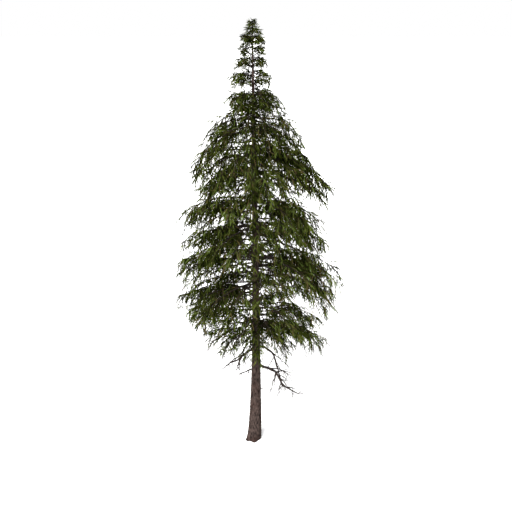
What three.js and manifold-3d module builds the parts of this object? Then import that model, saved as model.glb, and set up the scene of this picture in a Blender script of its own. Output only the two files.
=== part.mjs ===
// Spruce tree, open-grown, about twenty metres tall, rooted in the ground.
// Millimetres, +Z up. The origin is the centre of the flat cut at ground level.
// Azimuths run anticlockwise from +X, so 90 is the back and 270 the front.
import * as THREE from 'three';
import { mergeVertices } from 'three/addons/utils/BufferGeometryUtils.js';
import Module from 'manifold-3d';

const wasm = await Module();
wasm.setup();

// ---- driving sizes of the stem ----
const TREE_HEIGHT = 20000;
const STEM_TOP = 19750;
const STEM_BASE_DIAMETER = 460;
const STEM_TAPER_POWER = 0.72;
const FLARE_DIAMETER = 200;
const FLARE_HEIGHT = 2600;
const FLARE_POWER = 1.6;
const ROOT_RIB_SHARE = 0.11;
const ROOT_RIB_HEIGHT = 650;
const STEM_SWAY = 160;
const STEM_SIDES = 16;
const STEM_LEVELS = [
  0, 120, 300, 600, 1000, 1500, 2200, 3000, 4000, 5200, 6500,
  8000, 9500, 11000, 12500, 14000, 15500, 16800, 17900, 18800, 19400, STEM_TOP,
];

// ---- driving sizes of the needle masses ----
const MASS_RINGS = 8;
const MASS_SIDES = 7;
const NECK_HALF_WIDTH = 110;
const MASS_RISE = 95;
const MASS_HANG_SHARE = 0.72;
const LEAST_HANG = 330;
const MOST_HANG = 880;
const LOWEST_HANG = 640;
const TIP_SHARE = 0.16;
const TIP_HANG = 210;
const LOBE_SHARE = 0.17;
const SIDE_DROOP = 0.16;
const CUT_GAP = 0.4;
const MASS_GAP = 12;

// ---- colours ----
const NEEDLE_COLOURS = [0x39421f, 0x434a28, 0x4b5230, 0x3f4a26];
const BARK_COLOUR = 0x57494a;
const BOUGH_COLOUR = 0x4c4540;
const DEAD_COLOUR = 0x6a625c;

// Whorls from the top down. Each row gives the whorl's height on the stem, then
// for its left mass and its right mass the reach from the stem and the drop of
// the tip, then its other masses: the azimuth and the share of the mean reach.
const WHORLS = [
  { name: '02', z: 19180, left: [480, 210], right: [490, 190], others: [] },
  { name: '03', z: 18820, left: [680, 330], right: [580, 290], others: [] },
  { name: '04', z: 18330, left: [760, 400], right: [670, 330], others: [[80, 1]] },
  { name: '05', z: 17780, left: [1080, 580], right: [1020, 640], others: [[100, 1]] },
  { name: '06', z: 17020, left: [1300, 880], right: [1330, 900], others: [[70, 1], [262, 0.88]] },
  { name: '07', z: 16180, left: [2300, 1380], right: [2180, 1180], others: [[100, 1], [292, 0.86]] },
  { name: '08', z: 15000, left: [2800, 1620], right: [2660, 1080], others: [[62, 1], [246, 0.86]] },
  { name: '09', z: 13950, left: [2440, 980], right: [3340, 1300], others: [[120, 1], [282, 0.9]] },
  { name: '10', z: 12600, left: [3270, 860], right: [3020, 1280], others: [[74, 1], [316, 0.9]] },
  { name: '11', z: 11400, left: [3280, 760], right: [3300, 1160], others: [[108, 1], [226, 0.88]] },
  { name: '12', z: 10080, left: [3630, 860], right: [4080, 1540], others: [[66, 1], [318, 0.88]] },
  { name: '13', z: 8700, left: [3540, 860], right: [3620, 1220], others: [[104, 1], [222, 0.88]] },
  { name: '14', z: 7560, left: [3080, 880], right: [3120, 960], others: [[58, 1], [308, 0.94]] },
  { name: '15', z: 6400, left: [2850, 740], right: [3180, 900], others: [[122, 1], [236, 0.7]] },
];

// Boughs that show between the stem and a mass: the mass starts this far out.
const OPEN_BOUGHS = {
  '12_left': 0.2,
  '12_right': 0.18,
  '13_right': 0.22,
  '14_right': 0.18,
};
const BOUGH_ROOT_RADIUS = 52;
const BOUGH_END_RADIUS = 30;
const BOUGH_SIDES = 7;
const BOUGH_STEPS = 5;

// Dead limbs on the lower stem: height, azimuth, root radius, then the bends as
// pairs of the distance out from the stem's axis and the drop from the root.
const DEAD_LIMBS = [
  {
    name: 'dead_limb_right',
    z: 4300,
    azimuth: 342,
    radius: 36,
    bends: [[620, 110], [960, 190], [1180, 480], [1330, 900], [1720, 1090], [2250, 1240]],
  },
  {
    name: 'dead_limb_right_high',
    z: 5300,
    azimuth: 350,
    radius: 32,
    bends: [[430, 60], [800, 240], [930, 640], [1080, 1180], [1190, 1750], [1340, 2200]],
  },
  {
    name: 'dead_limb_left_high',
    z: 5180,
    azimuth: 186,
    radius: 32,
    bends: [[420, 180], [720, 420], [960, 640], [1240, 700], [1520, 980]],
  },
  {
    name: 'dead_limb_left',
    z: 4080,
    azimuth: 200,
    radius: 22,
    bends: [[330, 20], [560, 90], [760, 110], [930, 210]],
  },
];
const DEAD_CROOK = 46;
const DEAD_SIDES = 6;
const DEAD_END_RADIUS = 7;

// A repeatable stream of numbers from 0 to 1 for one seed.
function seeded(seed) {
  let state = seed >>> 0;
  return () => {
    state = (state + 0x6d2b79f5) >>> 0;
    let t = state;
    t = Math.imul(t ^ (t >>> 15), t | 1);
    t ^= t + Math.imul(t ^ (t >>> 7), t | 61);
    return ((t ^ (t >>> 14)) >>> 0) / 4294967296;
  };
}

// The stem's centre at a height: a slow sway that ends upright over the foot.
function stemX(z) {
  return STEM_SWAY * Math.sin(Math.PI * Math.sqrt(Math.min(z / TREE_HEIGHT, 1)));
}

// The stem's radius at a height: a tapering pole and the swell towards the roots.
function stemRadius(z) {
  const pole = STEM_BASE_DIAMETER * (1 - z / TREE_HEIGHT) ** STEM_TAPER_POWER;
  const flare = FLARE_DIAMETER * Math.exp(-((z / FLARE_HEIGHT) ** FLARE_POWER));
  return (pole + flare) / 2;
}

// A closed skin over rings of points, each ring the same count, with fan ends.
function loft(rings) {
  const sides = rings[0].length;
  const points = rings.flat();
  const ends = [rings[0], rings[rings.length - 1]].map((ring) => {
    const middle = new THREE.Vector3();
    ring.forEach((p) => middle.add(p));
    return middle.divideScalar(sides);
  });
  const first = points.length;
  const last = first + 1;
  const index = [];
  for (let i = 0; i < rings.length - 1; i += 1) {
    for (let j = 0; j < sides; j += 1) {
      const a = i * sides + j;
      const b = i * sides + ((j + 1) % sides);
      index.push(a, b, b + sides, a, b + sides, a + sides);
    }
  }
  const top = (rings.length - 1) * sides;
  for (let j = 0; j < sides; j += 1) {
    const k = (j + 1) % sides;
    index.push(first, k, j);
    index.push(last, top + j, top + k);
  }
  const geometry = new THREE.BufferGeometry().setFromPoints([...points, ...ends]);
  geometry.setIndex(index);
  return geometry;
}

// A closed geometry as a solid for cutting, turned inside out if it needs to be.
function solid(geometry) {
  const bare = geometry.clone();
  bare.deleteAttribute('normal');
  bare.deleteAttribute('uv');
  const merged = mergeVertices(bare, 1e-3);
  const vertProperties = new Float32Array(merged.attributes.position.array);
  const triVerts = new Uint32Array(merged.index.array);
  let volume = 0;
  const a = new THREE.Vector3();
  const b = new THREE.Vector3();
  const c = new THREE.Vector3();
  for (let i = 0; i < triVerts.length; i += 3) {
    a.fromArray(vertProperties, 3 * triVerts[i]);
    b.fromArray(vertProperties, 3 * triVerts[i + 1]);
    c.fromArray(vertProperties, 3 * triVerts[i + 2]);
    volume += a.dot(b.cross(c));
  }
  if (volume < 0) {
    triVerts.reverse();
  }
  return new wasm.Manifold(new wasm.Mesh({ numProp: 3, vertProperties, triVerts }));
}

// The largest separate piece of a solid that a cut may have parted.
function largest(cut) {
  const pieces = cut.decompose();
  return pieces.reduce((best, piece) => (piece.volume() > best.volume() ? piece : best));
}

// A cut solid back as a geometry.
function geometryOf(manifold) {
  const mesh = manifold.getMesh();
  const geometry = new THREE.BufferGeometry();
  geometry.setAttribute('position', new THREE.BufferAttribute(mesh.vertProperties, 3));
  geometry.setIndex(new THREE.BufferAttribute(mesh.triVerts, 1));
  geometry.computeVertexNormals();
  return geometry;
}

const tree = new THREE.Group();

function addPart(name, geometry, colour, roughness) {
  const material = new THREE.MeshStandardMaterial({ color: colour, roughness, metalness: 0 });
  const mesh = new THREE.Mesh(geometry, material);
  mesh.name = name;
  tree.add(mesh);
}

// ---- the stem: one whole pole with root ribs at its foot ----
function stemGeometry(grow) {
  const rings = STEM_LEVELS.map((z, level) => {
    const ribs = ROOT_RIB_SHARE * Math.exp(-z / ROOT_RIB_HEIGHT);
    const isEnd = level === 0 || level === STEM_LEVELS.length - 1;
    const away = isEnd && grow > 0 ? (level === 0 ? -grow : grow) : 0;
    const ring = [];
    for (let j = 0; j < STEM_SIDES; j += 1) {
      const turn = (2 * Math.PI * j) / STEM_SIDES;
      const swell = 1 + ribs * Math.cos(5 * turn + 0.6) + 0.5 * ribs * Math.cos(3 * turn + 2.1);
      const r = stemRadius(z) * swell + grow;
      ring.push(new THREE.Vector3(stemX(z) + r * Math.cos(turn), r * Math.sin(turn), z + away));
    }
    return ring;
  });
  return loft(rings);
}

addPart('trunk', stemGeometry(0), BARK_COLOUR, 0.95);
const stemCutter = solid(stemGeometry(CUT_GAP));

// ---- the leader: whorls of short shoots round the stem's tip ----
const LEADER_PROFILE = [
  [19190, 110], [19290, 400], [19400, 410], [19500, 260], [19580, 330],
  [19690, 270], [19770, 130], [19840, 180], [19930, 130], [TREE_HEIGHT, 20],
];

function leaderGeometry(grow) {
  const random = seeded(7);
  const rings = LEADER_PROFILE.map(([z, radius], level) => {
    const lean = random() * 6;
    const ring = [];
    for (let j = 0; j < MASS_SIDES; j += 1) {
      const turn = (2 * Math.PI * j) / MASS_SIDES;
      const r = radius * (1 + 0.2 * Math.cos(4 * turn + lean)) + grow;
      const sag = level > 0 && level < 6 ? -0.18 * r : 0;
      ring.push(new THREE.Vector3(stemX(z) + r * Math.cos(turn), r * Math.sin(turn), z + sag));
    }
    return ring;
  });
  return loft(rings);
}

// ---- the needle masses: one drooping, lobed pad for each bough ----
// Height of a bough over its reach share q: nearly level, then the tip hangs.
function boughDrop(q) {
  return 0.2 * q + 0.8 * q ** 4.2;
}

function massRings(mass, grow) {
  const random = seeded(mass.seed);
  const phase = [random(), random(), random(), random()].map((v) => v * 2 * Math.PI);
  const thick = 0.85 + 0.3 * random();
  const turn = THREE.MathUtils.degToRad(mass.azimuth);
  const out = new THREE.Vector3(Math.cos(turn), Math.sin(turn), 0);
  const side = new THREE.Vector3(-Math.sin(turn), Math.cos(turn), 0);
  const scale = Math.min(1, 0.3 + mass.reach / 3200);
  const rings = [];
  for (let i = 0; i < MASS_RINGS; i += 1) {
    const t = i / (MASS_RINGS - 1);
    const q = mass.start + (1 - mass.start) * t;
    const isTip = i === MASS_RINGS - 1;
    const reach = mass.reach * q + (i === 0 ? -grow : 0) + (isTip ? grow : 0);
    const slope = (mass.drop * (0.2 + 0.8 * 4.2)) / mass.reach;
    const height = mass.z - mass.drop * boughDrop(q) - (isTip ? grow * slope : 0);
    const swell = Math.sin(Math.PI * (0.06 + 0.9 * t ** 0.95)) ** 0.8;
    const tip = Math.max(TIP_SHARE, swell);
    const base = Math.max(NECK_HALF_WIDTH * scale, mass.reach * mass.width * (isTip ? TIP_SHARE : swell));
    const ring = [];
    for (let j = 0; j < MASS_SIDES; j += 1) {
      const angle = (2 * Math.PI * (j + 0.5)) / MASS_SIDES;
      const u = Math.cos(angle);
      const v = Math.sin(angle);
      const flank = u > 0 ? phase[0] : phase[1];
      const lobe = 1 + LOBE_SHARE * Math.sin(9.5 * t + flank) * (i > 0 ? 1 : 0);
      const fringe = 1 + 0.22 * Math.sin(13 * t + 2.2 * u + phase[2]) * (i > 0 ? 1 : 0);
      const halfWidth = base * lobe + grow;
      const rise = MASS_RISE * scale * (0.7 + 0.5 * tip) + grow;
      const hang = Math.max(mass.hang * thick * swell * fringe, TIP_HANG * scale) + grow;
      const droop = SIDE_DROOP * u * u * base;
      const up = (v > 0 ? rise : hang) * v - droop;
      const point = out.clone().multiplyScalar(reach);
      point.addScaledVector(side, halfWidth * u);
      point.x += stemX(mass.z);
      point.z = height + up;
      ring.push(point);
    }
    rings.push(ring);
  }
  return rings;
}

const masses = [];
WHORLS.forEach((whorl, row) => {
  const random = seeded(100 + row);
  const mean = (whorl.left[0] + whorl.right[0]) / 2;
  const meanDrop = (whorl.left[1] + whorl.right[1]) / 2;
  const isTop = row < 3;
  const below = WHORLS[row + 1];
  const spacing = below ? MASS_HANG_SHARE * (whorl.z - below.z) : LOWEST_HANG;
  const hang = THREE.MathUtils.clamp(spacing, LEAST_HANG, MOST_HANG);
  const pads = [
    { key: 'left', azimuth: 180 + 14 * (random() - 0.5), reach: whorl.left[0], drop: whorl.left[1] },
    { key: 'right', azimuth: 14 * (random() - 0.5), reach: whorl.right[0], drop: whorl.right[1] },
  ];
  whorl.others.forEach(([azimuth, share]) => {
    pads.push({
      key: azimuth > 180 ? 'front' : 'back',
      azimuth,
      reach: mean * share * (0.95 + 0.1 * random()),
      drop: meanDrop * (0.9 + 0.2 * random()),
    });
  });
  pads.forEach((pad, column) => {
    const key = `${whorl.name}_${pad.key}`;
    const flank = pad.key === 'front' ? 0.32 : 0.43;
    masses.push({
      ...pad,
      name: `needles_${key}`,
      z: whorl.z + 120 * (random() - 0.5) * (isTop ? 0 : 1),
      hang,
      width: isTop ? 0.62 : flank + 0.06 * (random() - 0.5),
      start: OPEN_BOUGHS[key] ?? 0.02,
      seed: 1000 + 10 * row + column,
    });
  });
});

// ---- limbs: tapering tubes along a path ----
function limbRings(path, rootRadius, endRadius, sides) {
  return path.map((point, i) => {
    const before = path[Math.max(i - 1, 0)];
    const after = path[Math.min(i + 1, path.length - 1)];
    const along = after.clone().sub(before).normalize();
    const across = new THREE.Vector3(0, 0, 1).cross(along).normalize();
    const over = along.clone().cross(across);
    const radius = rootRadius + (endRadius - rootRadius) * (i / (path.length - 1)) ** 0.8;
    const ring = [];
    for (let j = 0; j < sides; j += 1) {
      const turn = (2 * Math.PI * j) / sides;
      const spoke = across.clone().multiplyScalar(radius * Math.cos(turn));
      ring.push(point.clone().add(spoke).addScaledVector(over, radius * Math.sin(turn)));
    }
    return ring;
  });
}

// A bough that shows bare from the stem to the face of its mass.
function boughPath(mass) {
  const turn = THREE.MathUtils.degToRad(mass.azimuth);
  const path = [];
  for (let i = 0; i <= BOUGH_STEPS; i += 1) {
    const share = i / BOUGH_STEPS;
    const q = 0.01 + (mass.start + 0.06) * share;
    const reach = mass.reach * q;
    path.push(new THREE.Vector3(
      stemX(mass.z) + reach * Math.cos(turn),
      reach * Math.sin(turn),
      mass.z - mass.drop * boughDrop(q) - 25 * Math.sin(Math.PI * share),
    ));
  }
  return path;
}

const boughCutters = [];
masses.filter((mass) => mass.start > 0.1).forEach((mass) => {
  const path = boughPath(mass);
  const bare = limbRings(path, BOUGH_ROOT_RADIUS, BOUGH_END_RADIUS, BOUGH_SIDES);
  const grown = limbRings(path, BOUGH_ROOT_RADIUS + 1, BOUGH_END_RADIUS + 1, BOUGH_SIDES);
  const ownMass = solid(loft(massRings(mass, CUT_GAP)));
  const body = largest(solid(loft(bare)).subtract(stemCutter).subtract(ownMass));
  addPart(mass.name.replace('needles', 'bough'), geometryOf(body), BOUGH_COLOUR, 0.9);
  boughCutters.push({ owner: mass, cutter: solid(loft(grown)) });
});

const placed = [];
const leader = largest(solid(leaderGeometry(0)).subtract(stemCutter));
addPart('needles_01_leader', geometryOf(leader), NEEDLE_COLOURS[3], 0.8);
placed.push({ cutter: solid(leaderGeometry(MASS_GAP)) });

masses.forEach((mass, n) => {
  let body = solid(loft(massRings(mass, 0))).subtract(stemCutter);
  placed.forEach((other) => {
    body = body.subtract(other.cutter);
  });
  boughCutters.filter((bough) => bough.owner !== mass).forEach((bough) => {
    body = body.subtract(bough.cutter);
  });
  body = largest(body);
  addPart(mass.name, geometryOf(body), NEEDLE_COLOURS[n % NEEDLE_COLOURS.length], 0.8);
  placed.push({ cutter: solid(loft(massRings(mass, MASS_GAP))) });
});

// A dead limb: crooked from bend to bend, down to a thin end.
DEAD_LIMBS.forEach((limb, n) => {
  const random = seeded(500 + n);
  const turn = THREE.MathUtils.degToRad(limb.azimuth);
  const path = [[40, -10], ...limb.bends].map(([out, drop], i) => {
    const aside = i > 0 ? DEAD_CROOK * 2 * (random() - 0.5) : 0;
    return new THREE.Vector3(
      stemX(limb.z) + out * Math.cos(turn) - aside * Math.sin(turn),
      out * Math.sin(turn) + aside * Math.cos(turn),
      limb.z - drop,
    );
  });
  let body = solid(loft(limbRings(path, limb.radius, DEAD_END_RADIUS, DEAD_SIDES)));
  body = body.subtract(stemCutter);
  placed.forEach((other) => {
    body = body.subtract(other.cutter);
  });
  addPart(limb.name, geometryOf(largest(body)), DEAD_COLOUR, 0.9);
});

export default tree;
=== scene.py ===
"""An open-grown spruce: stem, drooping boughs, twigs, needle sprays and bare dead limbs."""

import bpy
import numpy as np
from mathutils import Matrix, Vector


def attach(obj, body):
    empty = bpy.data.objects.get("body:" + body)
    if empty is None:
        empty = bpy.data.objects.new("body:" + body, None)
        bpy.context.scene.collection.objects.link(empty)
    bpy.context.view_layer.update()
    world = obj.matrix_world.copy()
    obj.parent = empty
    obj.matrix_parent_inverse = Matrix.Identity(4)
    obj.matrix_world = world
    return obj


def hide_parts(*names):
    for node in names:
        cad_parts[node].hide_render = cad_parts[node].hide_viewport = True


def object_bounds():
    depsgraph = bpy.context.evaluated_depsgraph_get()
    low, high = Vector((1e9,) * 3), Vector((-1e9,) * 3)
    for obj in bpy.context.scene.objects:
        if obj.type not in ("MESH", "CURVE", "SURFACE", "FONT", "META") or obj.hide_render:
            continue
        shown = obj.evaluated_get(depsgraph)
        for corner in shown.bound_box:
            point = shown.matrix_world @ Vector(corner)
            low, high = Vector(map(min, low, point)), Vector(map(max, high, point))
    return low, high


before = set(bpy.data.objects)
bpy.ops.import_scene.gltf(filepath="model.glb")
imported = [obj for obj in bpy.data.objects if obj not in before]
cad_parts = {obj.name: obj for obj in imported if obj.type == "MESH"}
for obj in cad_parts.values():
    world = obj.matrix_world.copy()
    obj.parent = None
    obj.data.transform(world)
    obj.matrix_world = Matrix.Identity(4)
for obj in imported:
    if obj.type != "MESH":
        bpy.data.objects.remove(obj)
cad_box = [list(corner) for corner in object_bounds()]

# ---------------------------------------------------------------------------------------
# The stem. One tapering pole of living wood under thin grey-brown bark that has cracked
# into upright scales, with root ribs at its foot. It stands on its flat cut at ground
# level, and everything else grows out of it.
# ---------------------------------------------------------------------------------------
STEM_TOP = 19.75
STEM_AROUND = 144
STEM_ROWS = ((0.0, 5.6, 330), (5.6, 13.0, 210), (13.0, STEM_TOP, 90))
ROOT_RIB_SHARE = 0.11
ROOT_RIB_HEIGHT = 0.65
SCALES_AROUND = 22
SCALE_HEIGHT = 0.17
SCALE_DEPTH = 0.020
SMALL_SCALES_AROUND = 44
SMALL_SCALE_HEIGHT = 0.075
SMALL_SCALE_DEPTH = 0.007
FURROW_DEPTH = 0.010
FURROWS_AROUND = 9
RELIEF_INSET = 0.016
FULL_RELIEF_RADIUS = 0.28
BARK_ROUGHNESS = 0.9
BARK_SHINE = 0.05


def node_points(name):
    """The corners of a solid of the frame as an (n, 3) array."""
    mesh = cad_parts[name].data
    flat = np.empty(3 * len(mesh.vertices), np.float32)
    mesh.vertices.foreach_get("co", flat)
    return flat.reshape(-1, 3).astype(float)


def scatter(column, row, salt):
    """Two repeatable numbers from 0 to 1 for each cell of a grid: the fractions of large sines."""
    mix = column * 127.1 + row * 311.7 + salt * 74.7
    return (np.sin(mix) * 43758.5453) % 1.0, (np.sin(mix + 19.19) * 24634.6345) % 1.0


def scale_pattern(u, v, columns, salt):
    """Scales over a wrapped sheet. u counts columns and wraps, v counts rows. Each cell holds
    one seed point; the value is the second nearest seed's distance less the nearest's."""
    nearest = np.full(np.broadcast(u, v).shape, 9.0)
    second = nearest.copy()
    for across in (-1, 0, 1):
        for along in (-1, 0, 1):
            column = np.floor(u) + across
            row = np.floor(v) + along
            shift_u, shift_v = scatter(column % columns, row, salt)
            distance = np.hypot(column + shift_u - u, row + shift_v - v)
            second = np.minimum(second, np.maximum(nearest, distance))
            nearest = np.minimum(nearest, distance)
    return second - nearest


def add_piece(name, points, faces, materials, shade=None, smooth=True):
    """A mesh from (n, 3) points and (m, 3) corners; shade is each face's material number."""
    mesh = bpy.data.meshes.new(name)
    mesh.vertices.add(len(points))
    mesh.vertices.foreach_set("co", np.asarray(points, np.float32).ravel())
    mesh.loops.add(faces.size)
    mesh.loops.foreach_set("vertex_index", np.asarray(faces, np.int32).ravel())
    mesh.polygons.add(len(faces))
    mesh.polygons.foreach_set("loop_start", np.arange(0, faces.size, 3, dtype=np.int32))
    for material in materials:
        mesh.materials.append(material)
    if shade is not None:
        mesh.polygons.foreach_set("material_index", np.asarray(shade, np.int32))
    mesh.polygons.foreach_set("use_smooth", np.full(len(faces), smooth))
    mesh.update(calc_edges=True)
    piece = bpy.data.objects.new(name, mesh)
    bpy.context.scene.collection.objects.link(piece)
    return piece


def finish_material(name, roughness, shine):
    """A plain principled material and its shader node. Shine is its specular level."""
    material = bpy.data.materials.new(name)
    material.use_nodes = True
    shader = material.node_tree.nodes["Principled BSDF"]
    shader.inputs["Roughness"].default_value = roughness
    shader.inputs["Specular IOR Level"].default_value = shine
    return material, shader


def bark_material(name, dark, light, warm, stretch, size, bump):
    """Bark: streaks of noise blend a dark and a light brown, a broad noise lays a third
    colour over them in patches, and the streaks lift the surface a little."""
    material, shader = finish_material(name, BARK_ROUGHNESS, BARK_SHINE)
    nodes = material.node_tree.nodes
    links = material.node_tree.links
    where = nodes.new("ShaderNodeTexCoord")
    place = nodes.new("ShaderNodeMapping")
    place.inputs["Scale"].default_value = stretch
    links.new(where.outputs["Object"], place.inputs["Vector"])
    streaks = nodes.new("ShaderNodeTexNoise")
    streaks.inputs["Scale"].default_value = size
    streaks.inputs["Detail"].default_value = 5.0
    streaks.inputs["Roughness"].default_value = 0.65
    links.new(place.outputs["Vector"], streaks.inputs["Vector"])
    blend = nodes.new("ShaderNodeValToRGB")
    blend.color_ramp.elements[0].position = 0.36
    blend.color_ramp.elements[0].color = (*dark, 1.0)
    blend.color_ramp.elements[1].position = 0.66
    blend.color_ramp.elements[1].color = (*light, 1.0)
    links.new(streaks.outputs["Fac"], blend.inputs["Fac"])
    patches = nodes.new("ShaderNodeTexNoise")
    patches.inputs["Scale"].default_value = 1.1
    patches.inputs["Detail"].default_value = 3.0
    links.new(where.outputs["Object"], patches.inputs["Vector"])
    spread = nodes.new("ShaderNodeMapRange")
    spread.inputs["From Min"].default_value = 0.48
    spread.inputs["From Max"].default_value = 0.66
    spread.inputs["To Max"].default_value = 0.5
    links.new(patches.outputs["Fac"], spread.inputs["Value"])
    over = nodes.new("ShaderNodeMix")
    over.data_type = "RGBA"
    over.inputs["B"].default_value = (*warm, 1.0)
    links.new(spread.outputs["Result"], over.inputs["Factor"])
    links.new(blend.outputs["Color"], over.inputs["A"])
    links.new(over.outputs["Result"], shader.inputs["Base Color"])
    lift = nodes.new("ShaderNodeBump")
    lift.inputs["Strength"].default_value = bump
    lift.inputs["Distance"].default_value = 0.01
    links.new(streaks.outputs["Fac"], lift.inputs["Height"])
    links.new(lift.outputs["Normal"], shader.inputs["Normal"])
    return material


stem_points = node_points("trunk")
stem_levels = np.unique(stem_points[:, 2].round(3))
stem_rings = [stem_points[np.abs(stem_points[:, 2] - z) < 0.002] for z in stem_levels]
stem_middle = np.array([(ring[:, 0].max() + ring[:, 0].min()) / 2 for ring in stem_rings])
stem_thick = np.array([(ring[:, 1].max() - ring[:, 1].min()) / 2 for ring in stem_rings])


def stem_x(z):
    """The stem's axis across the tree at a height, read between the solid's rings."""
    return np.interp(z, stem_levels, stem_middle)


def stem_radius(z):
    """The stem's radius at a height, read between the solid's rings."""
    return np.interp(z, stem_levels, stem_thick)


def stem_surface(turn, z):
    """Distance of the bark from the axis: the stem's radius times one and the root ribs,
    which fade with height, plus large scales, small scales and the ridges between long
    furrows, less an inset. This relief shrinks with the radius on the thin upper stem."""
    ribs = ROOT_RIB_SHARE * np.exp(-z / ROOT_RIB_HEIGHT)
    swell = 1 + ribs * np.cos(5 * turn + 0.6) + 0.5 * ribs * np.cos(3 * turn + 2.1)
    share = turn / (2 * np.pi)
    radius = stem_radius(z)
    wander = 0.35 * np.sin(2.1 * z + 2 * turn) + 0.2 * np.sin(5.3 * z - 3 * turn)
    cells = scale_pattern(share * SCALES_AROUND + wander, z / SCALE_HEIGHT, SCALES_AROUND, 3.0)
    small = scale_pattern(
        share * SMALL_SCALES_AROUND + wander, z / SMALL_SCALE_HEIGHT, SMALL_SCALES_AROUND, 8.0)
    furrow = np.abs(np.sin(np.pi * (share * FURROWS_AROUND + 0.5 * np.sin(1.3 * z + 3 * turn))))
    size = np.clip(radius / FULL_RELIEF_RADIUS, 0.25, 1.0)
    relief = SCALE_DEPTH * np.clip(cells / 0.35, 0, 1)
    relief = relief + SMALL_SCALE_DEPTH * np.clip(small / 0.3, 0, 1)
    relief = relief + FURROW_DEPTH * np.clip(furrow * 2.2, 0, 1) - RELIEF_INSET
    return radius * swell + relief * size


stem_z = np.concatenate([
    np.linspace(low, high, count, endpoint=high == STEM_TOP) for low, high, count in STEM_ROWS
])[:, None]
stem_turn = np.linspace(0, 2 * np.pi, STEM_AROUND, endpoint=False)[None, :]
stem_r = stem_surface(stem_turn, stem_z)
stem_grid = np.stack([
    stem_x(stem_z) + stem_r * np.cos(stem_turn),
    stem_r * np.sin(stem_turn),
    np.broadcast_to(stem_z, stem_r.shape),
], axis=-1)
row_count = len(stem_z)
corner = np.arange(row_count * STEM_AROUND).reshape(row_count, STEM_AROUND)
beside = np.roll(corner, -1, axis=1)
stem_faces = np.concatenate([
    np.stack([corner[:-1], beside[:-1], beside[1:]], axis=-1).reshape(-1, 3),
    np.stack([corner[:-1], beside[1:], corner[1:]], axis=-1).reshape(-1, 3),
    np.stack([np.full(STEM_AROUND, corner.size), beside[0], corner[0]], axis=-1),
    np.stack([np.full(STEM_AROUND, corner.size + 1), corner[-1], beside[-1]], axis=-1),
])
stem_ends = [[stem_x(0.0), 0.0, 0.0], [stem_x(STEM_TOP), 0.0, STEM_TOP + 0.005]]
stem_skin = np.concatenate([stem_grid.reshape(-1, 3), stem_ends])
stem_bark = bark_material(
    "stem_bark", (0.0020, 0.0013, 0.0012), (0.060, 0.042, 0.036), (0.020, 0.0095, 0.007),
    (1.0, 1.0, 0.38), 13.0, 0.5,
)
stem = add_piece("stem_bark", stem_skin, stem_faces, [stem_bark])
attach(stem, "root")
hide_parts("trunk")

# ---------------------------------------------------------------------------------------
# The boughs. Several to a mass of needles, as a whorl's boughs and the weaker ones between
# whorls: tapering limbs of wood in thin dark bark that grow out of the stem, sag, and hang
# at the tip. The leader carries short whorls of its own.
# ---------------------------------------------------------------------------------------
BOUGH_STEPS = 14
BOUGH_SIDES = 7
# Falls are shares of the gap to the whorl below, swings are radians off the mass's bearing,
# and shares are of the mass's reach. Masses of less than the short reach are tufts.
SHORT_REACH = 1.6
SHORT_FALLS = (0.0, 0.05, 0.11, 0.17, 0.46, 0.52, 0.60)
WIDE_REACH = 1.12
WIDE_FALLS = (0.0, 0.06, 0.14, 0.24, 0.34, 0.46, 0.58, 0.70, 0.82, 0.94)
SHORT_SPREAD = 1.0
SHORT_SHARES = (0.70, 1.04)
SIDE_SWINGS = (0.0, 0.20, -0.20, 0.44, -0.44)
DEEP_SWINGS = (0.0, 0.36, -0.36, 0.70, -0.70)
LONG_FALLS = (0.0, 0.16, 0.30, 0.48, 0.62)
LONG_SHARES = (1.0, 0.98, 0.97, 0.93, 0.91)
LONG_SHARE_LOSS = 0.06
SWING_JITTER = 0.05
FALL_JITTER = 0.04
TUFT_JITTER = 0.05
LAST_WHORL_GAP = 0.95
# Boughs between whorls: the mass, the swing, the fall in metres and the share of the reach.
BETWEEN_BOUGHS = (
    ("needles_07_right", 0.05, -0.60, 0.72), ("needles_07_left", -0.20, -0.42, 0.66),
    ("needles_07_back", -0.40, -0.45, 0.70), ("needles_07_front", 0.20, -0.45, 0.62),
    ("needles_08_left", -0.08, -0.48, 0.98), ("needles_08_left", 0.12, -0.50, 0.92),
    ("needles_08_right", 0.05, -0.34, 0.92), ("needles_09_right", 0.16, -0.68, 0.93),
    ("needles_09_right", 0.08, -0.52, 1.00), ("needles_12_right", -0.06, 0.30, 1.00),
    ("needles_11_left", 0.05, 0.10, 1.18), ("needles_12_left", -0.06, 0.10, 1.00),
    ("needles_13_left", 0.08, -0.48, 0.95), ("needles_14_left", 0.06, -0.62, 0.88),
    ("needles_08_front", 0.25, -0.50, 0.85), ("needles_09_front", -0.20, -0.45, 0.85),
    ("needles_15_right", 0.30, -0.02, 0.56), ("needles_15_right", -0.28, 0.10, 0.60),
    ("needles_15_right", 0.02, 0.18, 0.46), ("needles_15_front", 0.55, 0.05, 0.75),
    ("needles_15_right", -0.75, 0.10, 0.62), ("needles_15_right", -0.50, 0.26, 0.50),
    ("needles_15_right", 0.60, 0.22, 0.52), ("needles_11_right", -0.06, -0.10, 0.98),
    ("needles_07_front", -0.60, -0.25, 0.85), ("needles_08_front", 0.90, -0.45, 0.85),
    ("needles_08_front", 0.50, -0.10, 0.70), ("needles_09_front", 0.50, -0.30, 0.72),
    ("needles_10_front", -1.40, -0.25, 0.80), ("needles_10_front", -0.90, -0.50, 0.66),
    ("needles_11_front", 1.30, -0.20, 0.80), ("needles_10_left", -0.10, 0.22, 0.96),
)
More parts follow.
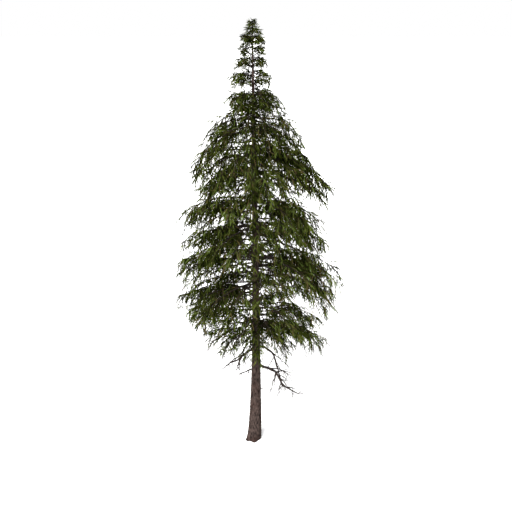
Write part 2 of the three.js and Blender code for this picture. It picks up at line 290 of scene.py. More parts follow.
# By mass: whorl boughs kept of the five, metres they are lifted, and share of reach kept.
FEWER_BOUGHS = {"needles_09_right": 4, "needles_13_right": 3,
                "needles_14_right": 2, "needles_14_left": 3, "needles_15_left": 2,
                "needles_15_right": 4}
LIFTED_BOUGHS = {"needles_09_right": 0.12, "needles_10_left": 0.06, "needles_11_right": 0.12,
                 "needles_12_right": -0.10, "needles_13_right": 0.36,
                 "needles_14_right": -0.30, "needles_15_left": 0.20, "needles_15_right": 0.16,
                 "needles_15_front": 0.08}
SHORTER_BOUGHS = {"needles_11_left": 0.86, "needles_14_left": 0.95, "needles_15_left": 0.80}
SIDE_MARGINS = (0.06, 0.18)
TIP_SPRAY = 0.16
CLEAR_STARTS = (0.10, 0.20)
TOP_READ_SHARE = 0.96
TUFT_RISE = 0.30
TUFT_DROP = 0.38
BOUGH_SINK = 0.05
FALL_LESSENED = 0.33
WANDER_SHARE = 0.018
LEADER_HIGHEST = 19.9
# The leader's whorls: height, length of the boughs and their number.
LEADER_WHORLS = ((19.00, 0.50, 5), (19.22, 0.42, 6), (19.38, 0.34, 5), (19.56, 0.24, 5),
                 (19.68, 0.20, 4), (19.80, 0.12, 4))
BOUGH_ROOT_SHARE = 0.0115
BOUGH_ROOT_LEAST = 0.008
BOUGH_TIP_RADIUS = 0.005
grow = np.random.default_rng(20)


def unit(vectors):
    """Vectors scaled to length one."""
    return vectors / np.maximum(np.linalg.norm(vectors, axis=-1, keepdims=True), 1e-9)


def limb_mesh(paths, radii, sides):
    """Tapering limbs. paths is (count, steps, 3) and radii (count, steps). Each step but the
    last carries a ring of corners square to the path, and the last is the limb's point."""
    count, steps, _ = paths.shape
    along = unit(np.gradient(paths, axis=1))
    level = np.array([0.0, 0.0, 1.0])
    across = np.cross(along, level)
    flat = np.linalg.norm(across, axis=-1, keepdims=True) < 0.05
    across = unit(np.where(flat, np.cross(along, [1.0, 0.0, 0.0]), across))
    over = np.cross(across, along)
    turn = np.arange(sides) * 2 * np.pi / sides
    spoke = (across[:, :-1, None] * np.cos(turn)[:, None]
             + over[:, :-1, None] * np.sin(turn)[:, None])
    rings = paths[:, :-1, None] + spoke * radii[:, :-1, None, None]
    points = np.concatenate([rings.reshape(count, -1, 3), paths[:, -1:]], axis=1)
    ring = np.arange((steps - 1) * sides).reshape(steps - 1, sides)
    after = np.roll(ring, -1, axis=1)
    tip = (steps - 1) * sides
    root = np.arange(1, sides - 1)
    faces = np.concatenate([
        np.stack([ring[:-1], ring[1:], after[:-1]], -1).reshape(-1, 3),
        np.stack([after[:-1], ring[1:], after[1:]], -1).reshape(-1, 3),
        np.stack([ring[-1], np.full(sides, tip), after[-1]], -1),
        np.stack([np.zeros_like(root), root, root + 1], -1),
    ])
    offset = (np.arange(count) * (tip + 1))[:, None, None]
    return points.reshape(-1, 3), (faces + offset).reshape(-1, 3)


def mass_shape(name):
    """How a needle mass lies about the stem: its heading, its reach, where it starts, and the
    height of its top as a cubic in the distance from the stem."""
    points = node_points(name)
    foot = stem_x(points[:, 2].max())
    flat = points[:, :2] - [foot, 0.0]
    far = np.hypot(flat[:, 0], flat[:, 1])
    heading = unit(flat[far > 0.93 * far.max()].mean(axis=0))
    out = flat @ heading
    reach = out.max()
    start = max(out.min(), 0.02)
    rings = np.linspace(start, reach, 8)
    near = np.abs(out[:, None] - rings) < (reach - start) / 15
    filled = near.any(axis=0)
    top = np.where(near, points[:, 2:3], -99.0).max(axis=0)[filled]
    return {
        "foot": foot, "bearing": np.arctan2(heading[1], heading[0]), "reach": reach,
        "start": start / reach, "top": np.polyfit(rings[filled], top, 3),
        "height": float(top[0]),
    }


def box_reach(foot, bearing):
    """How far a level line from the stem runs on a bearing before it leaves the solids' box."""
    sides = []
    for axis, part in ((0, np.cos(bearing)), (1, np.sin(bearing))):
        start = foot if axis == 0 else 0.0
        wall = cad_box[1 if part > 0 else 0][axis]
        room = abs(wall - start) - SIDE_MARGINS[axis]
        sides.append(room / max(abs(part), 1e-6))
    return min(sides)


def bough_line(shape, swing, fall, reach):
    """One bough's line from inside the stem to its tip: the height of the mass's top, less
    the bough's own fall, which lessens by a third to the tip, on a slightly wandering line.
    A tuft's bough rises by an eighth of its reach and ends a twelfth of it low, and the
    longer the tuft's reach, the more of the mass's top is blended in."""
    root = 0.5 * float(stem_radius(shape["height"]))
    share = np.linspace(0, 1, BOUGH_STEPS)
    distance = root + (reach - root) * share
    top = np.polyval(shape["top"], TOP_READ_SHARE * distance * shape["reach"] / reach)
    if shape["reach"] < SHORT_REACH:
        tuft = shape["height"] + reach * (TUFT_RISE * share - TUFT_DROP * share ** 4)
        top = tuft + (top - tuft) * min(1.0, max(0.0, shape["reach"] / SHORT_REACH - 0.55))
    sink = BOUGH_SINK * min(1.0, reach / 1.5) + fall * (1 - FALL_LESSENED * share)
    bearing = shape["bearing"] + swing
    wander = WANDER_SHARE * reach * np.sin(9 * share + 40 * swing) * share ** 0.5
    return np.stack([
        shape["foot"] + distance * np.cos(bearing) - wander * np.sin(bearing),
        distance * np.sin(bearing) + wander * np.cos(bearing),
        top - sink + 0.8 * wander,
    ], axis=-1)


def whorl_number(name):
    """The number of a mass's whorl, counted down from the leader's, read from its name."""
    return int(name.split("_")[1])


mass_names = sorted(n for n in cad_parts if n.startswith("needles_") and "leader" not in n)
mass_shapes = [mass_shape(name) for name in mass_names]
whorl_height = {}
for name, shape in zip(mass_names, mass_shapes):
    whorl_height.setdefault(whorl_number(name), shape["height"])
whorl_height[max(whorl_height) + 1] = whorl_height[max(whorl_height)] - LAST_WHORL_GAP
bough_rows = []
for name, shape in zip(mass_names, mass_shapes):
    whorl = whorl_number(name)
    gap = whorl_height[whorl] - whorl_height[whorl + 1]
    if shape["reach"] < SHORT_REACH:
        falls = np.array(SHORT_FALLS if shape["reach"] < WIDE_REACH else WIDE_FALLS)
        count = len(falls)
        swings = grow.permutation(np.linspace(-SHORT_SPREAD, SHORT_SPREAD, count))
        falls = gap * (falls + grow.normal(0, FALL_JITTER, count) + grow.normal(0, TUFT_JITTER))
        shares = grow.uniform(*SHORT_SHARES, count)
    else:
        count = len(LONG_FALLS)
        swings = np.array(DEEP_SWINGS if name.endswith(("front", "back")) else SIDE_SWINGS)
        swings = swings + grow.normal(0, SWING_JITTER, count)
        falls = gap * (np.array(LONG_FALLS) + grow.normal(0, FALL_JITTER, count))
        shares = LONG_SHARES - grow.uniform(0, LONG_SHARE_LOSS, count)
        shares[0] = 1.0
        kept = FEWER_BOUGHS.get(name, count)
        falls = falls - LIFTED_BOUGHS.get(name, 0.0)
        between = [row for row in BETWEEN_BOUGHS if row[0] == name]
        swings = np.append(swings[:kept], [row[1] for row in between])
        falls = np.append(falls[:kept], [row[2] for row in between])
        shares = np.append(shares[:kept], [row[3] for row in between])
    for swing, fall, share in zip(swings, falls, shares):
        reach = shape["reach"] * share * SHORTER_BOUGHS.get(name, 1.0)
        reach = min(reach, box_reach(shape["foot"], shape["bearing"] + swing))
        reach = reach - TIP_SPRAY * min(1.0, shape["reach"] / 2.5)
        start = max(shape["start"], grow.uniform(*CLEAR_STARTS))
        bough_rows.append((bough_line(shape, swing, fall, reach), reach, whorl, start))
for height, length, count in LEADER_WHORLS:
    turns = grow.uniform(0, 2 * np.pi) + np.arange(count) * 2 * np.pi / count
    for turn in turns + grow.normal(0, 0.2, count):
        reach = length * grow.uniform(0.75, 1.0)
        shape = {"foot": stem_x(height), "bearing": turn, "reach": reach,
                 "height": min(height + grow.uniform(-0.05, 0.05), LEADER_HIGHEST),
                 "top": [height]}
        bough_rows.append((bough_line(shape, 0.0, 0.0, reach), reach, 1, 0.12))
bough_lines = np.array([row[0] for row in bough_rows])
bough_reach = np.array([row[1] for row in bough_rows])
bough_whorl = np.array([row[2] for row in bough_rows])
bough_start = np.array([row[3] for row in bough_rows])
bough_count = len(bough_rows)
# How freely a bough's shoots hang and how large its sprays are: both grow with its reach.
bough_hang = np.clip((bough_reach - 0.30) / 3.0, 0.08, 0.9)
bough_scale = np.clip(0.45 + 0.25 * bough_reach, 0.5, 1.0)
bough_share = np.linspace(0, 1, BOUGH_STEPS)
bough_root = BOUGH_ROOT_LEAST + BOUGH_ROOT_SHARE * bough_reach
bough_radii = BOUGH_TIP_RADIUS + (bough_root[:, None] - BOUGH_TIP_RADIUS) * (1 - bough_share) ** 0.9
bough_points, bough_faces = limb_mesh(bough_lines, bough_radii, BOUGH_SIDES)
bough_bark = bark_material(
    "bough_bark", (0.007, 0.0055, 0.005), (0.026, 0.020, 0.017), (0.014, 0.010, 0.006),
    (1.0, 1.0, 1.0), 14.0, 0.3,
)
boughs = add_piece("boughs", bough_points, bough_faces, [bough_bark])
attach(boughs, "root")
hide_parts(*[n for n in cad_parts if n.startswith("bough_")])

# ---------------------------------------------------------------------------------------
# The side shoots and twigs. Shoots leave each bough to left and right and arch over, and
# twigs stand off each shoot to both sides like a feather. All are thin brown wood.
# ---------------------------------------------------------------------------------------
SHOOTS_PER_METRE = 4.6
SHOOTS_LEAST = 4
SHOOT_CROWDING = 0.86
SHOOT_ANGLE = 66
SHOOT_ANGLE_LOSS = 18
SHOOT_ANGLE_JITTER = 15
SHOOT_LENGTH_SHARE = 0.20
SHOOT_LENGTH_LEAST = 0.17
SHOOT_REACH_MOST = 3.2
SHOOT_SAG = (0.0, 0.35)
SHOOT_ARCH = (0.12, 0.60)
SHOOT_RADIUS = 0.008
SHOOT_TAPER = 0.55
TWIG_GAP = 0.142
TWIG_AHEAD = 0.60
TWIG_ASIDE = 0.56
TWIG_DROOP = (0.3, 1.5)
TWIG_JITTER = 0.18
TWIG_LENGTH = (0.19, 0.31)
TWIG_SAG = 0.19
TWIG_RADIUS = 0.006
TWIG_SIDES = 3
TWIG_HIGHEST = 19.97
TWIG_GROUPS = (("upper", 1, 11), ("lower", 12, 15))
CROWN_MARGIN = 0.05


def along_boughs(numbers, share):
    """Points and directions at a share of the way along the boughs of these numbers."""
    place = np.clip(share, 0, 0.9999) * (BOUGH_STEPS - 1)
    step = place.astype(int)
    part = (place - step)[:, None]
    first = bough_lines[numbers, step]
    second = bough_lines[numbers, step + 1]
    return first + (second - first) * part, unit(second - first)


shoot_counts = (bough_reach * SHOOTS_PER_METRE / bough_scale).astype(int)
shoot_counts = np.maximum(SHOOTS_LEAST, shoot_counts)
shoot_bough = np.repeat(np.arange(bough_count), 2 * shoot_counts)
shoot_order = np.concatenate([np.arange(2 * n) for n in shoot_counts])
shoot_side = np.where(shoot_order % 2 == 0, 1.0, -1.0)
shoot_total = len(shoot_bough)
shoot_share = (shoot_order + grow.uniform(0, 1.6, shoot_total)) / (2 * shoot_counts[shoot_bough])
shoot_share = np.minimum(shoot_share, 1.0) ** SHOOT_CROWDING
shoot_share = bough_start[shoot_bough] + (1 - bough_start[shoot_bough]) * shoot_share
shoot_share = np.minimum(shoot_share, 0.995)
shoot_root, shoot_bearing = along_boughs(shoot_bough, shoot_share)
shoot_aside = unit(np.cross(shoot_bearing, [0.0, 0.0, 1.0])) * shoot_side[:, None]
shoot_hang = bough_hang[shoot_bough]
shoot_over = np.cross(shoot_aside, shoot_bearing)
shoot_steep = np.clip(-shoot_bearing[:, 2], 0, 1)
shoot_roll = grow.normal(0, 1, shoot_total) * (0.75 - 0.5 * shoot_hang + 0.8 * shoot_steep)
shoot_roll = shoot_roll[:, None]
shoot_aside = shoot_aside * np.cos(shoot_roll) + shoot_over * np.sin(shoot_roll)
shoot_angle = SHOOT_ANGLE - SHOOT_ANGLE_LOSS * shoot_share
shoot_angle = shoot_angle + grow.normal(0, SHOOT_ANGLE_JITTER, shoot_total)
shoot_angle = np.radians(shoot_angle)[:, None]
shoot_heading = shoot_bearing * np.cos(shoot_angle) + shoot_aside * np.sin(shoot_angle)
shoot_bulge = np.sin(np.pi * (0.20 + 0.64 * shoot_share)) ** 0.8
shoot_scale = bough_scale[shoot_bough]
shoot_length = (SHOOT_LENGTH_LEAST * shoot_scale + SHOOT_LENGTH_SHARE * np.minimum(
    bough_reach[shoot_bough], SHOOT_REACH_MOST) * shoot_bulge)
shoot_length = shoot_length * grow.uniform(0.6, 1.1, shoot_total)
shoot_sag = grow.uniform(*SHOOT_SAG, shoot_total) * shoot_hang
shoot_arch = grow.uniform(*SHOOT_ARCH, shoot_total) * shoot_hang


def on_shoot(number, share):
    """A shoot's place and heading at a share of its length: straight out along its heading,
    less its sag times the share and its arch times the share squared, both by its length."""
    length = shoot_length[number][:, None]
    fall = np.zeros((len(number), 3))
    fall[:, 2] = shoot_sag[number] * share + shoot_arch[number] * share ** 2
    slope = np.zeros((len(number), 3))
    slope[:, 2] = shoot_sag[number] + 2 * shoot_arch[number] * share
    place = shoot_root[number] + length * (shoot_heading[number] * share[:, None] - fall)
    return place, unit(shoot_heading[number] - slope)


twig_counts = np.maximum(2, np.round(shoot_length / TWIG_GAP / shoot_scale).astype(int))
twig_shoot = np.repeat(np.arange(shoot_total), twig_counts)
twig_order = np.concatenate([np.arange(n) for n in twig_counts])
twig_total = len(twig_shoot)
twig_share = (twig_order + grow.uniform(0.1, 0.9, twig_total)) / twig_counts[twig_shoot]
twig_share = np.clip(twig_share * 0.95, 0.03, 0.95)
twig_root, twig_along = on_shoot(twig_shoot, twig_share)
twig_side = np.where((twig_order + twig_shoot) % 2 == 0, 1.0, -1.0)
twig_aside = unit(np.cross(twig_along, [0.0, 0.0, 1.0])) * twig_side[:, None]
twig_over = np.cross(twig_aside, twig_along)
twig_steep = np.clip(-twig_along[:, 2], 0, 1)
twig_roll = (grow.normal(0, 1, twig_total) * (0.2 + 0.9 * twig_steep))[:, None]
twig_aside = twig_aside * np.cos(twig_roll) + twig_over * np.sin(twig_roll)
twig_heading = TWIG_AHEAD * twig_along + TWIG_ASIDE * twig_aside
twig_droop = grow.uniform(*TWIG_DROOP, twig_total) * shoot_hang[twig_shoot]
twig_heading[:, 2] -= twig_droop * (1 - 0.7 * twig_steep)
twig_heading = unit(twig_heading + grow.normal(0, TWIG_JITTER, (twig_total, 3)))
twig_length = grow.uniform(*TWIG_LENGTH, twig_total) * shoot_scale[twig_shoot]
twig_length = twig_length * (1.08 - 0.3 * twig_share)
twig_end = twig_root + twig_heading * twig_length[:, None]
twig_kept = ((twig_end > np.array(cad_box[0]) - CROWN_MARGIN)
             & (twig_end < np.array(cad_box[1]) + CROWN_MARGIN)).all(axis=1)
twig_kept &= twig_end[:, 2] < TWIG_HIGHEST
twig_shoot, twig_share = twig_shoot[twig_kept], twig_share[twig_kept]
twig_root, twig_heading = twig_root[twig_kept], twig_heading[twig_kept]
twig_length = twig_length[twig_kept]
twig_total = len(twig_root)

shoot_steps = np.array([0.0, 0.4, 0.75, 1.0])
shoot_lines = np.stack([
    on_shoot(np.arange(shoot_total), np.full(shoot_total, share))[0] for share in shoot_steps
], axis=1)
shoot_radii = SHOOT_RADIUS + SHOOT_RADIUS * shoot_length
shoot_radii = shoot_radii[:, None] * (1 - SHOOT_TAPER * shoot_steps)
twig_lines = twig_root[:, None] + np.array([0.0, 0.95])[:, None] * (
    twig_heading * twig_length[:, None])[:, None]
twig_lines[:, 1, 2] -= TWIG_SAG * twig_length
twig_radii = np.full((twig_total, 2), TWIG_RADIUS)
twig_bark, twig_shader = finish_material("twig_bark", 0.9, 0.0)
twig_shader.inputs["Base Color"].default_value = (0.020, 0.0145, 0.009, 1.0)

shoot_whorl = bough_whorl[shoot_bough]
twig_whorl = shoot_whorl[twig_shoot]
for label, first, last in TWIG_GROUPS:
    shoot_here = (shoot_whorl >= first) & (shoot_whorl <= last)
    twig_here = (twig_whorl >= first) & (twig_whorl <= last)
    shoot_points, shoot_faces = limb_mesh(
        shoot_lines[shoot_here], shoot_radii[shoot_here], TWIG_SIDES)
    twig_points, twig_faces = limb_mesh(
        twig_lines[twig_here], twig_radii[twig_here], TWIG_SIDES)
    twigs = add_piece(
        f"twigs_{label}", np.concatenate([shoot_points, twig_points]),
        np.concatenate([shoot_faces, twig_faces + len(shoot_points)]), [twig_bark],
    )
    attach(twigs, "root")

# ---------------------------------------------------------------------------------------
# The needles. Each twig and the outer part of each shoot and bough is brushed with stiff
# needles that point forward all round it. A needle is one narrow pointed blade folded along
# its middle, larger than life, and all the needles of a spray have the same green.
# ---------------------------------------------------------------------------------------
NEEDLE_GAP = 0.0172
NEEDLE_LENGTH = 0.100
NEEDLE_WIDTH = 0.0275
NEEDLE_LEAN = 0.41
NEEDLE_LEAN_JITTER = 0.10
NEEDLE_TURN = 2.4
NEEDLES_LEAST = 4
NEEDLES_MOST = 20
NEEDLE_GREENS = (
    (0.0028, 0.0045, 0.0005),
    (0.0105, 0.0152, 0.0018),
    (0.0270, 0.0355, 0.0048),
    (0.0600, 0.0730, 0.0150),
    (0.0760, 0.1060, 0.0240),
    (0.0680, 0.0530, 0.0210),
)
SHADE_EDGES = (-0.70, 0.15, 0.95, 1.75)
BROWN_SHARE = 0.05
# The stretches of each shoot and bough that carry a spray, as shares of its length.
SHOOT_CUTS = ((0.22, 0.66), (0.62, 1.05))
TIP_CUTS = ((0.60, 0.71), (0.70, 0.81), (0.80, 0.91), (0.90, 1.04))
LEADER_SPRAYS = 9
LEADER_SPAN = (19.30, 19.86)
LEADER_SPRAY_LENGTH = 0.14
LEADER_SPRAY_SCALE = 0.55
NEEDLE_GROUPS = (("top", 1, 6), ("upper", 7, 8), ("middle", 9, 10), ("broad", 11, 11),
                 ("lower", 12, 12), ("low", 13, 13), ("lowest", 14, 15))

spray_root = [twig_root]
spray_line = [twig_heading * twig_length[:, None]]
spray_whorl = [twig_whorl]
shoot_tone = 0.5 * grow.normal(0, 1, shoot_total)
shoot_tone = shoot_tone + 0.35 * grow.normal(0, 1, bough_count)[shoot_bough]
shoot_tone = shoot_tone + 0.6 * (shoot_share - 0.5)
spray_tone = [shoot_tone[twig_shoot] + 0.5 * (twig_share - 0.5)]
spray_scale = [shoot_scale[twig_shoot]]
for first, last in SHOOT_CUTS:
    here = on_shoot(np.arange(shoot_total), np.full(shoot_total, first))[0]
    there = on_shoot(np.arange(shoot_total), np.full(shoot_total, last))[0]
    spray_root.append(here)
    spray_line.append(there - here)
    spray_whorl.append(shoot_whorl)
    spray_tone.append(shoot_tone)
    spray_scale.append(shoot_scale)
leader_z = np.linspace(*LEADER_SPAN, LEADER_SPRAYS)
spray_root.append(np.stack([stem_x(leader_z), 0 * leader_z, leader_z], axis=-1))
spray_line.append(grow.normal(0, 0.035, (LEADER_SPRAYS, 3)) + [0.0, 0.0, LEADER_SPRAY_LENGTH])
spray_whorl.append(np.full(LEADER_SPRAYS, 1))
spray_tone.append(np.full(LEADER_SPRAYS, 0.3))
spray_scale.append(np.full(LEADER_SPRAYS, LEADER_SPRAY_SCALE))
for first, last in TIP_CUTS:
    here = along_boughs(np.arange(bough_count), np.full(bough_count, first))[0]
    there, way = along_boughs(np.arange(bough_count), np.full(bough_count, min(last, 1.0)))
    there = there + way * (max(last - 1.0, 0.0) * bough_reach)[:, None]
    spray_root.append(here)
    spray_line.append(there - here)
    spray_whorl.append(bough_whorl)
    spray_tone.append(np.full(bough_count, 0.2))
    spray_scale.append(bough_scale)
spray_root = np.concatenate(spray_root)
spray_line = np.concatenate(spray_line)
spray_end = spray_root + spray_line
spray_kept = ((spray_end > np.array(cad_box[0]) - CROWN_MARGIN)
              & (spray_end < np.array(cad_box[1]) + CROWN_MARGIN)).all(axis=1)
spray_root, spray_line = spray_root[spray_kept], spray_line[spray_kept]
spray_whorl = np.concatenate(spray_whorl)[spray_kept]
spray_scale = np.concatenate(spray_scale)[spray_kept]
spray_total = len(spray_root)
spray_tone = np.concatenate(spray_tone)[spray_kept] + grow.normal(0, 0.95, spray_total)
spray_shade = np.digitize(spray_tone, SHADE_EDGES)
spray_brown = grow.uniform(0, 1, spray_total) < BROWN_SHARE
spray_shade = np.where(spray_brown, len(NEEDLE_GREENS) - 1, spray_shade)
spray_length = np.linalg.norm(spray_line, axis=1)
spray_heading = unit(spray_line)
spray_needles = np.round(spray_length / NEEDLE_GAP / spray_scale)
spray_needles = np.clip(spray_needles, NEEDLES_LEAST, NEEDLES_MOST).astype(int)

needle_spray = np.repeat(np.arange(spray_total), spray_needles)
needle_order = np.arange(len(needle_spray)) - np.repeat(
    np.cumsum(spray_needles) - spray_needles, spray_needles)
needle_share = 0.03 + 0.95 * needle_order / (spray_needles[needle_spray] - 1)
needle_total = len(needle_spray)
needle_root = spray_root[needle_spray] + spray_line[needle_spray] * needle_share[:, None]
needle_root[:, 2] -= 0.2 * spray_length[needle_spray] * needle_share ** 2
spray_now = spray_heading[needle_spray].copy()
spray_now[:, 2] -= 0.4 * needle_share
spray_now = unit(spray_now)
needle_aside = unit(np.cross(spray_now, [0.0, 0.05, 1.0]))
needle_over = np.cross(needle_aside, spray_now)
needle_turn = NEEDLE_TURN * needle_order
needle_turn = (needle_turn + grow.uniform(0, 2 * np.pi, spray_total)[needle_spray])[:, None]
needle_spoke = needle_aside * np.cos(needle_turn) + needle_over * 0.75 * np.sin(needle_turn)
needle_lean = (NEEDLE_LEAN * (1 - 0.5 * needle_share ** 3)
               + grow.normal(0, NEEDLE_LEAN_JITTER, needle_total))[:, None]
needle_heading = unit(spray_now * np.cos(needle_lean) + needle_spoke * np.sin(needle_lean))
needle_long = NEEDLE_LENGTH * spray_scale[needle_spray] * (1 - 0.22 * needle_share)
needle_long = (needle_long * grow.uniform(0.85, 1.15, needle_total))[:, None]
needle_half = (NEEDLE_WIDTH / 2 * spray_scale[needle_spray])[:, None]
needle_wide = unit(np.cross(needle_heading, needle_spoke)) * needle_half
needle_waist = needle_root + needle_heading * needle_long * 0.42
needle_waist = needle_waist - unit(needle_spoke) * needle_half * 0.4
needle_points = np.stack([
    needle_root, needle_waist - needle_wide,
    needle_root + needle_heading * needle_long, needle_waist + needle_wide,
], axis=1)

needle_materials = []
for number, green in enumerate(NEEDLE_GREENS):
    material, shader = finish_material(f"needle_green_{number + 1}", 0.8, 0.0)
    shader.inputs["Base Color"].default_value = (*green, 1.0)
    needle_materials.append(material)

blade = np.array([[0, 1, 2], [0, 2, 3]])
needle_whorl = spray_whorl[needle_spray]
for label, first, last in NEEDLE_GROUPS:
    here = (needle_whorl >= first) & (needle_whorl <= last)
    points = needle_points[here].reshape(-1, 3)
    faces = (blade[None] + 4 * np.arange(here.sum())[:, None, None]).reshape(-1, 3)
    shade = np.repeat(spray_shade[needle_spray][here], 2)
    needles = add_piece(f"needles_{label}", points, faces, needle_materials, shade, smooth=False)
    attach(needles, "root")
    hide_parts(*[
        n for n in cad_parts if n.startswith("needles_") and first <= whorl_number(n) <= last
    ])

# ---------------------------------------------------------------------------------------
# The dead limbs. Bare, dry, crooked wood left under the crown where the shade has killed
# the boughs: each forks into finer twigs that droop, and short snags stand on the stem
# where others have broken off.
# ---------------------------------------------------------------------------------------
# Limbs: the solid, the height it starts from, azimuth and thickness, then distances from
# the stem's axis and drops below the start.
DEAD_LIMBS = (
    ("dead_limb_right", 4.30, 342, 0.074,
     ((0.62, 0.11), (0.96, 0.19), (1.18, 0.48), (1.33, 0.90), (1.72, 1.09), (2.25, 1.24))),
    ("dead_limb_right_high", 5.30, 350, 0.060,
     ((0.43, 0.06), (0.80, 0.24), (0.93, 0.64), (1.08, 1.18), (1.19, 1.75), (1.34, 2.20))),
    ("dead_limb_left_high", 5.18, 186, 0.070,
     ((0.42, 0.18), (0.72, 0.42), (0.96, 0.64), (1.24, 0.70), (1.52, 0.98))),
    ("dead_limb_left", 4.08, 200, 0.042,
     ((0.33, 0.02), (0.56, 0.09), (0.76, 0.11), (0.93, 0.21))),
)
# Forks and bare shoots: the same without a solid. The first four start on the limbs, and
# the last two hang among the lowest green boughs.
DEAD_FORKS = (
    (4.72, 186, 0.048, ((0.70, 0.0), (0.84, 0.26), (0.90, 0.52), (0.98, 0.78))),
    (4.86, 182, 0.034, ((0.62, 0.0), (0.92, 0.16), (1.18, 0.36), (1.42, 0.72))),
    (4.02, 346, 0.036, ((1.02, 0.0), (1.30, -0.10), (1.52, 0.00), (1.66, 0.22))),
    (3.98, 340, 0.032, ((1.10, 0.0), (1.26, 0.24), (1.36, 0.48), (1.34, 0.72))),
    (5.86, 184, 0.024, ((1.70, 0.0), (2.05, 0.26), (2.30, 0.62), (2.40, 1.10))),
    (5.60, 357, 0.020, ((2.00, 0.0), (2.25, 0.12), (2.36, 0.46), (2.42, 0.86))),
)
DEAD_STEPS = 9
DEAD_MAIN_STEPS = 16
DEAD_SIDES = 6
SNAG_COUNT = 34
SNAG_HEIGHTS = (1.6, 8.5)
SNAG_REACH = (0.06, 0.45)
SNAG_RADIUS = (0.009, 0.02)
BARE_TWIGS_PER_BOUGH = 3
BARE_TWIG_LENGTH = (0.45, 1.15)
dead_grow = np.random.default_rng(77)


def crooked(points, steps, wobble):
    """A line through some bends, cut into even steps, each step but the first moved aside
    by a random wobble."""
    gaps = np.linalg.norm(np.diff(points, axis=0), axis=1)
    reach = np.concatenate([[0.0], np.cumsum(gaps)])
    even = np.linspace(0, reach[-1], steps)
    line = np.stack([np.interp(even, reach, points[:, k]) for k in range(3)], axis=-1)
    shake = dead_grow.normal(0, wobble * reach[-1], line.shape)
    shake[0] = 0
    return line + shake


def side_twigs(line, radius, count, length, droop, start=0.25, taper=0.4):
    """Twigs off a limb: each leaves at a share of it, to the two sides in turn, twenty-five
    to sixty degrees off its line, runs a random share of length and sinks to its end. Taper
    is how much shorter the outer ones are. Gives each twig's line and its root radius."""
    twigs = []
    for number, share in enumerate(np.linspace(start, 0.96, count)):
        place = (share + dead_grow.uniform(-0.04, 0.02)) * (len(line) - 1)
        step = min(int(place), len(line) - 2)
        root = line[step] + (line[step + 1] - line[step]) * (place - step)
        along = unit(line[step + 1] - line[step])
        side = unit(np.cross(along, [0.0, -1.0, 0.25])) * (1 if number % 2 else -1)
        aside = unit(side + dead_grow.normal(0, 0.45, 3))
        aside = unit(aside - along * (aside @ along))
        angle = np.radians(dead_grow.uniform(25, 60))
        heading = unit(along * np.cos(angle) + aside * np.sin(angle) + [0, 0, -0.1])
        long = length * dead_grow.uniform(0.6, 1.0) * (1.1 - taper * share)
        bends = root + heading * long * np.linspace(0, 1, 5)[:, None]
        bends[:, 2] -= droop * long * np.linspace(0, 1, 5) ** 1.7
        twigs.append((crooked(bends, DEAD_STEPS, 0.018), radius * (1.05 - 0.5 * share)))
    return twigs


dead_parts = []
for name, z, azimuth, radius, bends in DEAD_LIMBS:
    turn = np.radians(azimuth)
    path = np.array([(0.5 * float(stem_radius(z)), -0.01), *bends])
    points = np.stack([
        stem_x(z) + path[:, 0] * np.cos(turn), path[:, 0] * np.sin(turn), z - path[:, 1],
    ], axis=-1)
    size = path[-1, 0] + path[-1, 1]
    main = crooked(points, DEAD_MAIN_STEPS, 0.006)
    dead_parts.append((main, radius, 0.018))
    for branch, thick in side_twigs(main, radius * 0.5, int(3 + 1.4 * size), 0.34 * size, 0.4,
                                    taper=0.8):
        dead_parts.append((branch, thick, 0.011))
        for twig, thin in side_twigs(branch, thick * 0.65, 3, 0.06 * size + 0.12, 0.45, 0.3):
            dead_parts.append((twig, thin, 0.007))
for z, azimuth, radius, bends in DEAD_FORKS:
    turn = np.radians(azimuth)
    path = np.array(bends)
    points = np.stack([
        stem_x(z) + path[:, 0] * np.cos(turn), path[:, 0] * np.sin(turn), z - path[:, 1],
    ], axis=-1)
    fork = crooked(points, DEAD_STEPS, 0.008)
    dead_parts.append((fork, radius, 0.008))
    for branch, thick in side_twigs(fork, radius * 0.55, 5, 0.45, 0.45, 0.35):
        dead_parts.append((branch, thick, 0.007))
# Bare twigs hang from the lowest green boughs.
low_boughs = np.flatnonzero(bough_whorl == max(bough_whorl))
for number in np.repeat(low_boughs, BARE_TWIGS_PER_BOUGH):
    share = dead_grow.uniform(0.35, 0.95)
    root, along = along_boughs(np.array([number]), np.array([share]))
    heading = unit(along[0] + dead_grow.normal(0, 0.35, 3) + [0.0, 0.0, -0.35])
    long = dead_grow.uniform(*BARE_TWIG_LENGTH)
    bends = root[0] + heading * long * np.linspace(0, 1, 5)[:, None]
    bends[:, 2] -= 0.55 * long * np.linspace(0, 1, 5) ** 1.8
    hanging = crooked(bends, DEAD_STEPS, 0.012)
    dead_parts.append((hanging, 0.018, 0.007))
    for twig, thin in side_twigs(hanging, 0.011, 3, 0.3, 0.5, 0.35):
        dead_parts.append((twig, thin, 0.006))
for _ in range(SNAG_COUNT):
    z = dead_grow.uniform(*SNAG_HEIGHTS)
    turn = dead_grow.uniform(0, 2 * np.pi)
    heading = np.array([np.cos(turn), np.sin(turn), dead_grow.uniform(-0.5, 0.1)])
    root = np.array([stem_x(z), 0, z]) + heading * [1, 1, 0] * 0.9 * float(stem_radius(z))
    reach = dead_grow.uniform(*SNAG_REACH)
    snag = root + heading * reach * np.linspace(0, 1, 4)[:, None]
    dead_parts.append((crooked(snag, DEAD_STEPS, 0.02), dead_grow.uniform(*SNAG_RADIUS), 0.004))

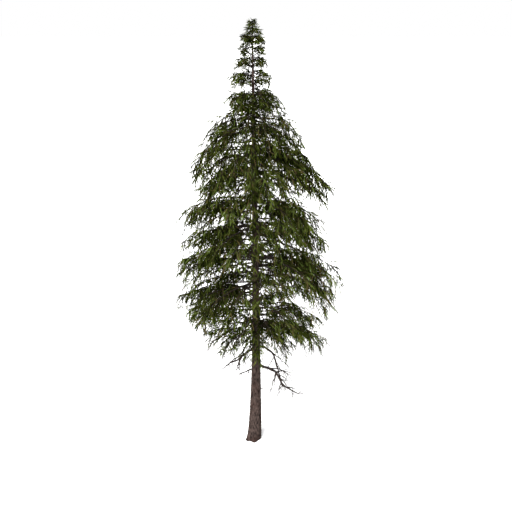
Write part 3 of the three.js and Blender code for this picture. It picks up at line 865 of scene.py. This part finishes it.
dead_points = []
dead_faces = []
dead_count = 0
for line, thick, thin in dead_parts:
    radii = thin + (thick - thin) * (1 - np.linspace(0, 1, len(line))) ** 0.8
    points, faces = limb_mesh(line[None], radii[None], DEAD_SIDES)
    dead_points.append(points)
    dead_faces.append(faces + dead_count)
    dead_count += len(points)
dead_bark = bark_material(
    "dead_wood", (0.009, 0.007, 0.006), (0.036, 0.028, 0.025), (0.018, 0.012, 0.010),
    (1.0, 1.0, 1.0), 12.0, 0.3,
)
dead = add_piece("dead_limbs", np.concatenate(dead_points), np.concatenate(dead_faces), [dead_bark])
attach(dead, "root")
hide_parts(*[limb[0] for limb in DEAD_LIMBS])

# ---------------------------------------------------------------------------------------
# The setting: a plain pale floor at ground level, even sky light, one broad soft lamp high
# on the left in front, and the camera in front of the tree, above its middle.
# ---------------------------------------------------------------------------------------
FLOOR_SIZE = 900.0
CAMERA_TILT = np.radians(20.7)
CAMERA_DISTANCE = 27.95
CAMERA_ASIDE = 0.155
CAMERA_AIM_HEIGHT = 9.9

floor_mesh = bpy.data.meshes.new("floor")
floor_mesh.from_pydata(
    [(-FLOOR_SIZE, -FLOOR_SIZE, 0), (FLOOR_SIZE, -FLOOR_SIZE, 0),
     (FLOOR_SIZE, FLOOR_SIZE, 0), (-FLOOR_SIZE, FLOOR_SIZE, 0)], [], [(0, 1, 2, 3)])
floor = bpy.data.objects.new("floor", floor_mesh)
bpy.context.scene.collection.objects.link(floor)
floor_finish, floor_shader = finish_material("pale_floor", 1.0, 0.0)
floor_shader.inputs["Base Color"].default_value = (0.9, 0.9, 0.9, 1.0)
floor_mesh.materials.append(floor_finish)

world = bpy.data.worlds.new("studio")
world.use_nodes = True
world.node_tree.nodes["Background"].inputs["Color"].default_value = (1.0, 1.0, 1.0, 1.0)
world.node_tree.nodes["Background"].inputs["Strength"].default_value = 1.0
bpy.context.scene.world = world

lamp_data = bpy.data.lights.new("soft_lamp", "SUN")
lamp_data.energy = 9.0
lamp_data.angle = np.radians(40.0)
lamp = bpy.data.objects.new("soft_lamp", lamp_data)
lamp.rotation_euler = (np.radians(48.0), 0.0, np.radians(-30.0))
bpy.context.scene.collection.objects.link(lamp)

camera_data = bpy.data.cameras.new("camera")
camera_data.sensor_width = 36.0
camera_data.lens = 43.45
camera_data.clip_end = 2000.0
camera = bpy.data.objects.new("camera", camera_data)
camera.location = (
    CAMERA_ASIDE, -CAMERA_DISTANCE * np.cos(CAMERA_TILT),
    CAMERA_AIM_HEIGHT + CAMERA_DISTANCE * np.sin(CAMERA_TILT))
camera.rotation_euler = (np.radians(90.0) - CAMERA_TILT, 0.0, 0.0)
bpy.context.scene.collection.objects.link(camera)
bpy.context.scene.camera = camera
bpy.context.scene.view_settings.view_transform = "Standard"
